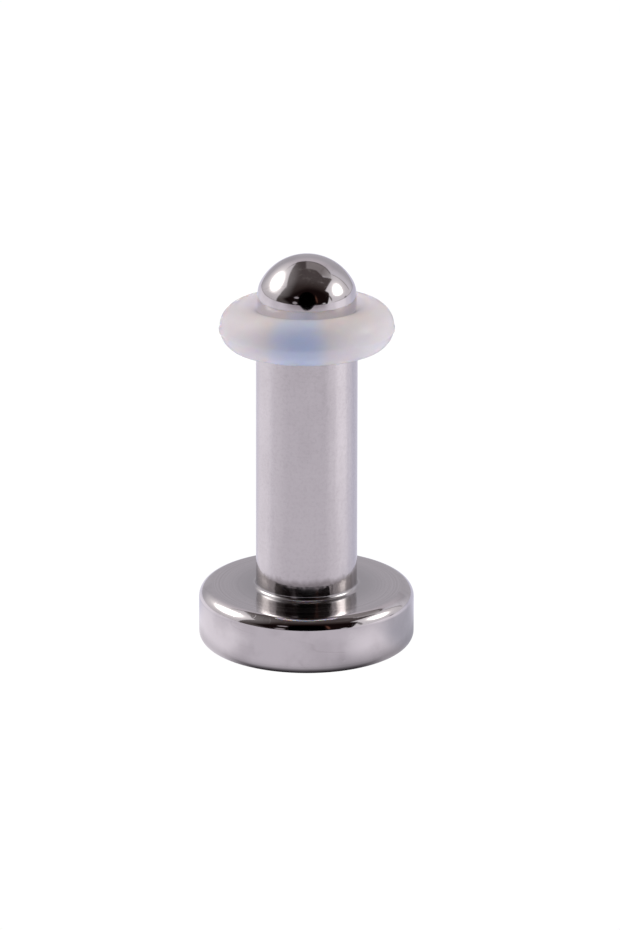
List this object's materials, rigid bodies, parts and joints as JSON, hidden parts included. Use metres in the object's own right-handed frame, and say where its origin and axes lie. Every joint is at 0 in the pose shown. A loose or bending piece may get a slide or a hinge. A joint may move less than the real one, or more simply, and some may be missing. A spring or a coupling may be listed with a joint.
{
  "type": "ear gauge plug",
  "caption": "Single-flare ear plug with a round head, straight barrel and domed end, held by a silicone O-ring in a groove.",
  "frame": {"origin": "centre of the flat front face of the head, on which the plug stands", "axes": "+Z along the plug's axis from the head to the dome; X and Y are equal, because the plug is round"},
  "size_m": [0.0085, 0.0084, 0.016],
  "materials": {
    "polished_steel": "turned and polished surgical steel",
    "clear_silicone": "milky translucent silicone, satin"
  },
  "bodies": {
    "root": {"plug_body": "polished_steel", "o_ring": "clear_silicone"}
  },
  "joints": []
}
